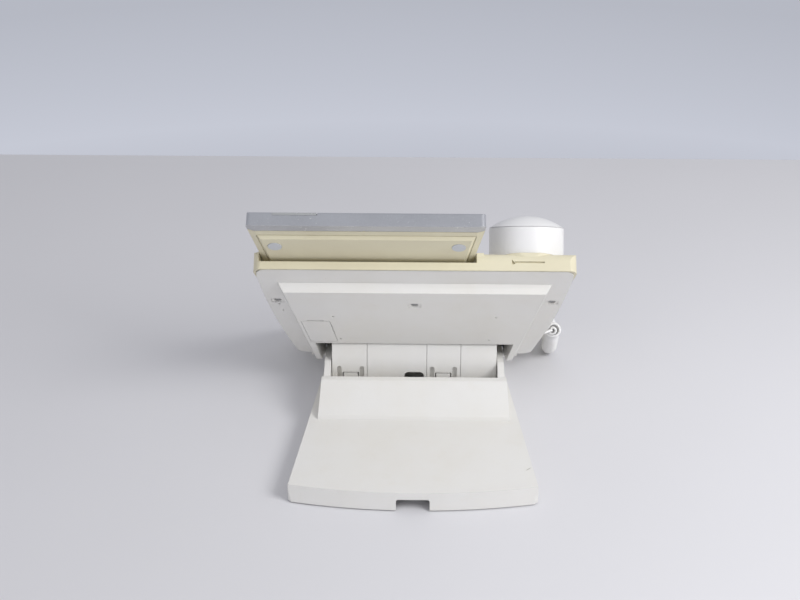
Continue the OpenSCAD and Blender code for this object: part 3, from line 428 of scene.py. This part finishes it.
def finishes(f):
    """Every finish but the cord's, by its short name."""
    return {
        "white": moulded("white_moulding", f.white, f.soil, rough=0.42, grain_mm=0.6, grain_depth=0.014,
                         edge_mm=0.8, dirt=0.16, aged=0.12, strokes=SCRATCHES),
        "handset": moulded("handset_moulding", f.ear_white, f.soil, rough=0.36, grain_mm=0.5,
                           grain_depth=0.006, edge_mm=0.9, dirt=0.08, aged=0.06),
        "cream": moulded("cream_moulding", f.cream, f.soil, rough=0.40, grain_mm=0.6, grain_depth=0.012,
                         edge_mm=0.8, dirt=0.30),
        "silver": worn_silver("silver_paint", f.silver),
        "steel": plated("zinc_plate", f.steel),
        "rubber": rubber("foot_rubber", f.dark),
        "pad": rubber("pad_rubber", f.pad),
        "nylon": moulded("bush_nylon", NYLON, NYLON_SOIL, rough=0.5, grain_mm=0.5, grain_depth=0.005,
                         edge_mm=0.3, dirt=0.1),
        "board": resist("solder_resist", SOLDER_RESIST),
        "mat": rubber("key_silicone", SILICONE),
        "dark": moulded("dark_moulding", f.dark, DARK_SOIL, rough=0.45, grain_mm=0.5, grain_depth=0.01,
                        edge_mm=0.3, dirt=0.2),
        "window": clear("window_plastic", WINDOW, rough=0.03, haze=0.06),
        "screen": liquid_crystal("screen_field", f.screen),
        "lamp": clear("lamp_plastic", LAMP_LENS, rough=0.25, haze=0.2, through=0.3),
        "plug": clear("plug_plastic", PLUG, rough=0.08, haze=0.1),
        "key": moulded("key_moulding", f.key, f.soil, rough=0.45, grain_mm=0.5, grain_depth=0.010,
                       edge_mm=0.5, dirt=0.20),
        "key_grey": moulded("grey_key_moulding", f.key_grey, GREY_KEY_SOIL, rough=0.45, grain_mm=0.5,
                            grain_depth=0.010, edge_mm=0.5, dirt=0.25),
    }


class PHONE_OT_finish(bpy.types.Operator):
    """Give every moulded, plated and rubber part its finish"""

    bl_idname = "phone.finish"
    bl_label = "Finish the parts"

    def execute(self, context):
        made = finishes(context.scene.phone_finishes)
        made["cord"] = cord_plastic("cord_jacket", context.scene.phone_cord.colour)
        for name, members in SLOTS.items():
            for node in members:
                slots = nodes[node].material_slots
                if not slots:
                    raise RuntimeError(f"{node} has no material slot")
                for slot in slots:
                    slot.material = made[name]
        return {"FINISHED"}


# ---------- handset cord ----------

# The cord's middle line: out of the socket in the console's left end, down to the table, and round to the
# handset. The curled part's points are in mm.
LIE = 7.7                          # height of those points where the cord lies on the table
JACK_OUT = on_console(-110.5, 24, 5)
SOCKET_OUT = in_mouth(0, -(MOUTH_R + 6), 10)
SOCKET_WAY = (in_mouth(0, -1, 0) - in_mouth(0, 0, 0)).normalized()
CURLED_WAY = [
    (-131, -62, 54), (-132, -76, 42), (-133, -90, 22), (-134, -104, LIE), (-136, -120, LIE),
    (-137, -136, LIE), (-136, -152, LIE), (-129, -166, LIE), (-117, -173, LIE), (-106, -170, LIE),
    (-99, -161, LIE + 2),
]
# The straight leads at its ends, in metres: points past the console's socket, and the bend, the far and the
# near point on the way into the handset's.
JACK_LEAD = [Vector((-0.004, 0, 0)), Vector((-0.010, -0.001, 0.001))]
SOCKET_BEND = Vector((-0.002, -0.006, -0.003))
SOCKET_FAR, SOCKET_NEAR = 0.010, 0.003
STEPS_PER_SPAN = 24                # points of the smoothed line from one of these points to the next

# The cord's stretches: where they part, as shares of the curled length.
PARTINGS = (0.45, 0.62, 0.86)


def smooth(points, steps):
    """A Catmull-Rom line through the points."""
    line = []
    for i in range(len(points) - 1):
        a, b, c, d = (points[max(0, min(len(points) - 1, i + k))] for k in (-1, 0, 1, 2))
        for j in range(steps):
            t = j / steps
            line.append(0.5 * (2 * b + (c - a) * t + (2 * a - 5 * b + 4 * c - d) * t * t
                               + (3 * b - a - 3 * c + d) * t ** 3))
    return line + [points[-1]]


def lengths(line):
    """The distance along a line to each of its points."""
    out = [0.0]
    for a, b in zip(line, line[1:]):
        out.append(out[-1] + (b - a).length)
    return out


def at_length(line, along, s):
    """The point of a line at distance s along it."""
    lo, hi = 0, len(along) - 1
    while hi - lo > 1:
        middle = (lo + hi) // 2
        lo, hi = (middle, hi) if along[middle] <= s else (lo, middle)
    t = (s - along[lo]) / max(along[hi] - along[lo], 1e-12)
    return line[lo].lerp(line[hi], max(0.0, min(1.0, t)))


class Nodes:
    """A geometry node group, with short calls to add and join its nodes."""

    def __init__(self, name, inputs):
        self.group = bpy.data.node_groups.new(name, "GeometryNodeTree")
        self.sockets = {}
        for label, kind in [("Geometry", "NodeSocketGeometry"), *inputs]:
            self.sockets[label] = self.group.interface.new_socket(label, in_out="INPUT", socket_type=kind)
        self.group.interface.new_socket("Geometry", in_out="OUTPUT", socket_type="NodeSocketGeometry")
        self.given = self.group.nodes.new("NodeGroupInput").outputs
        self.result = self.group.nodes.new("NodeGroupOutput").inputs[0]

    def add(self, kind, inputs=(), **settings):
        """A new node; inputs maps a socket's name or number to a socket or a value."""
        node = self.group.nodes.new(kind)
        for key, value in settings.items():
            setattr(node, key, value)
        for key, value in dict(inputs).items():
            if isinstance(value, bpy.types.NodeSocket):
                self.group.links.new(value, node.inputs[key])
            else:
                node.inputs[key].default_value = value
        return node

    def math(self, kind, a, b=0.0):
        return self.add("ShaderNodeMath", {0: a, 1: b}, operation=kind).outputs[0]

    def vector(self, kind, a, b):
        return self.add("ShaderNodeVectorMath", {0: a, 1: b}, operation=kind).outputs[0]

    def scaled(self, a, by):
        return self.add("ShaderNodeVectorMath", {0: a, "Scale": by}, operation="SCALE").outputs[0]

    def ramped(self, value, low, high):
        """0 below low and 1 above high, with a smooth rise between."""
        return self.add("ShaderNodeMapRange", {"Value": value, "From Min": low, "From Max": high},
                        interpolation_type="SMOOTHSTEP").outputs[0]

    def finish(self, geometry, material):
        real = self.add("GeometryNodeRealizeInstances", {"Geometry": geometry})
        painted = self.add("GeometryNodeSetMaterial", {"Geometry": real.outputs[0], "Material": material})
        self.group.links.new(painted.outputs[0], self.result)

    def run(self, name, source, **values):
        """The mesh that the group makes of source, as a plain mesh; source is used up."""
        modifier = source.modifiers.new(name, "NODES")
        modifier.node_group = self.group
        for label, value in values.items():
            modifier[self.sockets[label.replace("_", " ")].identifier] = value
        bpy.context.view_layer.update()
        evaluated = source.evaluated_get(bpy.context.evaluated_depsgraph_get())
        mesh = bpy.data.meshes.new_from_object(evaluated)
        mesh.name = name
        source.modifiers.clear()
        bpy.data.objects.remove(source)
        return mesh


def curling_nodes():
    """Winds a way into curls between two places along it, and thickens it into a wire."""
    n = Nodes("curled_wire", [("Step", "NodeSocketFloat"), ("Pitch", "NodeSocketFloat"),
                              ("Curl Radius", "NodeSocketFloat"), ("Wire Radius", "NodeSocketFloat"),
                              ("First", "NodeSocketFloat"), ("Last", "NodeSocketFloat"),
                              ("Sides", "NodeSocketInt"), ("Material", "NodeSocketMaterial")])
    fine = n.add("GeometryNodeResampleCurve", {"Curve": n.given["Geometry"], "Length": n.given["Step"]},
                 mode="LENGTH").outputs[0]
    along = n.add("GeometryNodeSplineParameter").outputs["Length"]
    start = n.math("SUBTRACT", along, n.given["First"])
    left = n.math("SUBTRACT", n.given["Last"], along)
    less = n.math("MULTIPLY", n.given["Pitch"], -1.2)
    more = n.math("MULTIPLY", n.given["Pitch"], 1.2)
    grow = n.math("MULTIPLY", n.ramped(start, less, more), n.ramped(left, less, more))
    reach = n.math("MULTIPLY", grow, n.given["Curl Radius"])
    turn = n.math("MULTIPLY", n.math("DIVIDE", start, n.given["Pitch"]), 2 * math.pi)
    across = n.add("GeometryNodeInputNormal").outputs["Normal"]
    over = n.vector("CROSS_PRODUCT", n.add("GeometryNodeInputTangent").outputs[0], across)
    offset = n.vector("ADD", n.scaled(across, n.math("MULTIPLY", n.math("COSINE", turn), reach)),
                      n.scaled(over, n.math("MULTIPLY", n.math("SINE", turn), reach)))
    wound = n.add("GeometryNodeSetPosition", {"Geometry": fine, "Offset": offset}).outputs[0]
    ring = n.add("GeometryNodeCurvePrimitiveCircle",
                 {"Resolution": n.given["Sides"], "Radius": n.given["Wire Radius"]}).outputs[0]
    wire = n.add("GeometryNodeCurveToMesh", {"Curve": wound, "Profile Curve": ring}).outputs[0]
    n.finish(wire, n.given["Material"])
    return n


class Curl:
    """The cord's wire: straight from the socket, curled along the way, and straight into the handset."""

    def __init__(self, c, sides=8):
        curled = [Vector(p) * MM for p in CURLED_WAY]
        jack_end = [JACK_OUT, *(JACK_OUT + out for out in JACK_LEAD)]
        drop = SOCKET_OUT + SOCKET_WAY * SOCKET_FAR
        socket_end = [drop + SOCKET_BEND, drop, SOCKET_OUT + SOCKET_WAY * SOCKET_NEAR, SOCKET_OUT]
        self.way = smooth([*jack_end, *curled, *socket_end], STEPS_PER_SPAN)
        self.along = lengths(self.way)
        self.first = self.along[len(jack_end) * STEPS_PER_SPAN]
        self.last = self.along[(len(jack_end) + len(curled) - 1) * STEPS_PER_SPAN]
        self.sides = sides
        mesh = curling_nodes().run(
            "curled_wire", curve_along("cord_way", self.way), Step=c.pitch / c.steps, Pitch=c.pitch,
            Curl_Radius=(c.curl - c.wire) / 2, Wire_Radius=c.wire / 2, First=self.first, Last=self.last,
            Sides=sides, Material=bpy.data.materials["cord_jacket"])
        self.verts = [v.co.copy() for v in mesh.vertices]
        bpy.data.meshes.remove(mesh)
        self.count = len(self.verts) // sides
        self.middles = [sum(self.verts[i * sides:(i + 1) * sides], Vector()) / sides
                        for i in range(self.count)]

    def at(self, s):
        """The point of the way at distance s along it."""
        return at_length(self.way, self.along, s)

    def stretch(self, name, low, high):
        """The wire between two places along the way as a closed tube, and its middle line."""
        a, b = (round(s / self.along[-1] * (self.count - 1)) for s in (low, high))
        k = self.sides
        verts = self.verts[a * k:(b + 1) * k]
        rings = b - a
        faces = [(i * k + j, i * k + (j + 1) % k, (i + 1) * k + (j + 1) % k, (i + 1) * k + j)
                 for i in range(rings) for j in range(k)]
        faces += [tuple(range(k - 1, -1, -1)), tuple(rings * k + j for j in range(k))]
        made = piece(name, verts, faces)
        outwards(made.data)
        return made, self.middles[a:b + 1]


def curve_along(name, line):
    """A curve object of one straight-sided spline."""
    curve = bpy.data.curves.new(name, "CURVE")
    curve.dimensions = "3D"
    spline = curve.splines.new("POLY")
    spline.points.add(len(line) - 1)
    for point, place in zip(spline.points, line):
        point.co = (*place, 1)
    made = bpy.data.objects.new(name, curve)
    bpy.context.scene.collection.objects.link(made)
    return made


def outwards(mesh):
    """Turn a closed mesh's faces to point out of it."""
    work = bmesh.new()
    work.from_mesh(mesh)
    bmesh.ops.recalc_face_normals(work, faces=work.faces)
    work.to_mesh(mesh)
    work.free()


def piece(name, verts, faces, smooth_shaded=True):
    """A new mesh object in the scene."""
    mesh = bpy.data.meshes.new(name)
    mesh.from_pydata([tuple(v) for v in verts], [], faces)
    mesh.validate()
    if smooth_shaded:
        for polygon in mesh.polygons:
            polygon.use_smooth = True
    made = bpy.data.objects.new(name, mesh)
    bpy.context.scene.collection.objects.link(made)
    return made


def give(made, material, body=None):
    """Finish a piece, and let it ride on a body when one is given."""
    made.data.materials.clear()
    made.data.materials.append(bpy.data.materials[material])
    if body:
        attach(made, body)
    return made


class PHONE_OT_cord(bpy.types.Operator):
    """Wind the handset cord and lay it from the console's socket to the handset"""

    bl_idname = "phone.cord"
    bl_label = "Wind the cord"

    def execute(self, context):
        c = context.scene.phone_cord
        curl = Curl(c)
        first, span = curl.first, curl.last - curl.first
        # Stretches that drop from the console, lie on the table, rise, and run to the handset; only the one
        # on the table rides on a body, the base.
        cuts = [0.0, *(first + share * span for share in PARTINGS), curl.along[-1]]
        rides = [("console", "base"), ("base", "base"), ("base", "console"), ("console", "handset")]
        names = ["cord_drop", "cord_lying", "cord_rise", "cord_to_handset"]
        for name, low, high, (a, b) in zip(names, cuts, cuts[1:], rides):
            one, line = curl.stretch(name, low, high)
            give(one, "cord_jacket")
            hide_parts("handset_cord")
            if a == b:
                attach(one, a)
            else:
                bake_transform(one)
        return {"FINISHED"}


# ---------- key legends ----------

# The dial keys, in mm: the middle of the first row, and the spacing across and down.
PAD_X, PAD_P = 40.0, 62.0
KEY_PX, KEY_PY = 25.0, 18.0
PRINT_GAP = 0.02                   # between a key's top and its print
LEGENDS = "123456789*0#"
DIALS = SLOTS["key"]


def figure(name, text, height, x, p, q, relief):
    """A printed figure lying on the keypad face."""
    curve = bpy.data.curves.new(name, "FONT")
    curve.body, curve.size, curve.align_x, curve.align_y = text, height, "CENTER", "CENTER"
    curve.extrude, curve.resolution_u = relief / 2, 4
    holder = bpy.data.objects.new(name, curve)
    mesh = bpy.data.meshes.new_from_object(holder)
    bpy.data.objects.remove(holder)
    bpy.data.curves.remove(curve)
    place = Matrix.Translation(on_console(x, p, q + relief / 2 / MM)) @ Matrix.Rotation(FACE_SLOPE, 4, "X")
    mesh.transform(place)
    made = bpy.data.objects.new(name, mesh)
    bpy.context.scene.collection.objects.link(made)
    return made


class PHONE_OT_legends(bpy.types.Operator):
    """Print plain figures on the twelve dial keys"""

    bl_idname = "phone.legends"
    bl_label = "Print the legends"

    def execute(self, context):
        s = context.scene.phone_legends
        ink = Finish("legend_ink")
        patch = ink.ramp(ink.noise(2, 3), (0.3, 0.0), (0.7, 1.0))
        colour = tuple(context.scene.phone_finishes.legend)
        ink.set(Base_Color=ink.mix(patch, colour, shade(colour, 1.5)), Roughness=0.5)
        for i, (key, text) in enumerate(zip(DIALS, LEGENDS)):
            x, p = PAD_X + (i % 3 - 1) * KEY_PX, PAD_P - (i // 3) * KEY_PY
            made = figure(f"figure_{key}", text, s.height, x, p, KEY_TOP + PRINT_GAP, s.relief)
            give(made, "legend_ink", key)
        return {"FINISHED"}


# ---------- stage ----------

CAMERA_AT = Vector((-0.00184, 0.91912, 0.68357))
CAMERA_TURN = (math.radians(58.639), 0, math.radians(180.909))
SENSOR_MM = 36
CLIP_START, CLIP_END = 0.02, 20

TABLE_SIDE, TABLE_NEAR = 3, 3.5    # how far the table runs to each side, and towards the camera

# Each lamp's name, place, size and the setting that holds its power: a soft one high on the handset's side
# of the camera, and a weak one on its other side.
LAMPS = (
    ("key_lamp", (-0.9, 0.55, 0.95), 0.6, "key_power"),
    ("fill_lamp", (0.9, 1.1, 1.2), 1.2, "fill_power"),
)
LAMPS_AIM = Vector((0, 0.0, 0.08))
ROOM_COLOUR = (0.93, 0.94, 1.0)

# The wall is seen below the horizon, so each view ray that meets it points down. Z is the ray's, at about
# the wall's foot and the picture's top. A tone is a share of the way up, and the backdrop's brightness there.
WALL_FOOT_Z, WALL_TOP_Z = -0.425, -0.295
WALL_TONES = ((0.0, 1.0), (0.26, 1.09), (0.49, 1.02), (0.95, 0.90))


def plane(name, corners):
    made = piece(name, corners, [(0, 1, 2, 3)], False)
    return made


def paper(name, colour):
    """Matt paper whose tone drifts a little."""
    s = Finish(name)
    drift = s.ramp(s.noise(420, 2), (0.3, 0.0), (0.7, 1.0))
    s.set(Base_Color=s.mix(drift, colour, shade(colour, 0.97)), Roughness=0.85)
    s.set(Normal=s.bump(s.noise(3, 3), 0.02))
    s.set(Specular_IOR_Level=0.25)
    return s.material


def clamped_sum(tree, a, b):
    """Two sockets of a node tree added, and kept from 0 to 1."""
    node = tree.nodes.new("ShaderNodeMath")
    node.operation, node.use_clamp = "ADD", True
    tree.links.new(a, node.inputs[0])
    tree.links.new(b, node.inputs[1])
    return node.outputs[0]


def wall_colour(tree, backdrop):
    """The wall's colour by the height at which it is seen."""
    way = tree.nodes.new("ShaderNodeTexCoord")
    apart = tree.nodes.new("ShaderNodeSeparateXYZ")
    height = tree.nodes.new("ShaderNodeMapRange")
    height.inputs["From Min"].default_value = WALL_FOOT_Z
    height.inputs["From Max"].default_value = WALL_TOP_Z
    wall = tree.nodes.new("ShaderNodeValToRGB")
    stops = wall.color_ramp.elements
    while len(stops) < len(WALL_TONES):
        stops.new(0.5)
    for stop, (share, by) in zip(stops, WALL_TONES):
        stop.position = share
        stop.color = (*shade(backdrop, by), 1)
    tree.links.new(way.outputs["Generated"], apart.inputs[0])
    tree.links.new(apart.outputs["Z"], height.inputs["Value"])
    tree.links.new(height.outputs[0], wall.inputs[0])
    return wall.outputs[0]


def room(strength, backdrop):
    """Pale light from all round, with a wall that only the camera, reflections and clear parts see."""
    world = bpy.data.worlds.new("room")
    world.use_nodes = True
    tree = world.node_tree
    rays = tree.nodes.new("ShaderNodeLightPath").outputs
    looked_through = clamped_sum(tree, rays["Is Glossy Ray"], rays["Is Transmission Ray"])
    shown = clamped_sum(tree, rays["Is Camera Ray"], looked_through)
    light = tree.nodes["Background"]
    light.inputs["Color"].default_value = (*ROOM_COLOUR, 1)
    light.inputs["Strength"].default_value = strength
    seen = tree.nodes.new("ShaderNodeBackground")
    seen.inputs["Strength"].default_value = 1
    tree.links.new(wall_colour(tree, backdrop), seen.inputs["Color"])
    mix = tree.nodes.new("ShaderNodeMixShader")
    for socket, into in zip((shown, light.outputs[0], seen.outputs[0]), mix.inputs):
        tree.links.new(socket, into)
    tree.links.new(mix.outputs[0], tree.nodes["World Output"].inputs["Surface"])
    return world


def lamp(name, at, size, power):
    """A square lamp that faces the object."""
    light = bpy.data.lights.new(name, "AREA")
    light.size, light.energy = size, power
    made = bpy.data.objects.new(name, light)
    made.location = at
    made.rotation_euler = (LAMPS_AIM - Vector(at)).to_track_quat("-Z", "Y").to_euler()
    bpy.context.scene.collection.objects.link(made)


def camera(lens):
    """The scene's camera."""
    data = bpy.data.cameras.new("camera")
    data.lens, data.sensor_width = lens, SENSOR_MM
    data.clip_start, data.clip_end = CLIP_START, CLIP_END
    eye = bpy.data.objects.new("camera", data)
    eye.location, eye.rotation_euler = CAMERA_AT, CAMERA_TURN
    bpy.context.scene.collection.objects.link(eye)
    return eye


class PHONE_OT_stage(bpy.types.Operator):
    """Set the table, the pale room, the lamps and the camera"""

    bl_idname = "phone.stage"
    bl_label = "Set the stage"

    def execute(self, context):
        s = context.scene.phone_stage
        scene = context.scene
        scene.view_settings.view_transform = "Standard"
        edge = s.table_edge
        table = plane("table_top", [(-TABLE_SIDE, edge, 0), (TABLE_SIDE, edge, 0),
                                    (TABLE_SIDE, TABLE_NEAR, 0), (-TABLE_SIDE, TABLE_NEAR, 0)])
        table.data.materials.append(paper("table_paper", s.table))
        scene.world = room(s.world, s.backdrop)
        for name, at, size, power in LAMPS:
            lamp(name, at, size, getattr(s, power))
        scene.camera = camera(s.lens)
        return {"FINISHED"}


# ---------- add-on ----------


class PHONE_PT_panel(bpy.types.Panel):
    """The telephone's steps in the sidebar"""

    bl_idname = "PHONE_PT_panel"
    bl_label = "Desk telephone"
    bl_space_type = "VIEW_3D"
    bl_region_type = "UI"
    bl_category = "Telephone"

    def draw(self, context):
        for step in STEPS:
            self.layout.operator(step.bl_idname)
        for group in GROUPS:
            box = self.layout.box()
            for key in GROUPS[group].__annotations__:
                box.prop(getattr(context.scene, group), key)


STEPS = [PHONE_OT_stage, PHONE_OT_finish, PHONE_OT_cord, PHONE_OT_legends]
GROUPS = {
    "phone_finishes": PhoneFinishes,
    "phone_cord": PhoneCord,
    "phone_legends": PhoneLegends,
    "phone_stage": PhoneStage,
}


def register():
    for made in [*GROUPS.values(), *STEPS, PHONE_PT_panel]:
        bpy.utils.register_class(made)
    for name, group in GROUPS.items():
        setattr(bpy.types.Scene, name, bpy.props.PointerProperty(type=group))


def unregister():
    for name in GROUPS:
        delattr(bpy.types.Scene, name)
    for made in [PHONE_PT_panel, *reversed(STEPS), *reversed(list(GROUPS.values()))]:
        bpy.utils.unregister_class(made)


def main():
    register()
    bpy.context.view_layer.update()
    for step in STEPS:
        area, name = step.bl_idname.split(".")
        getattr(getattr(bpy.ops, area), name)()


if __name__ == "__main__":
    main()
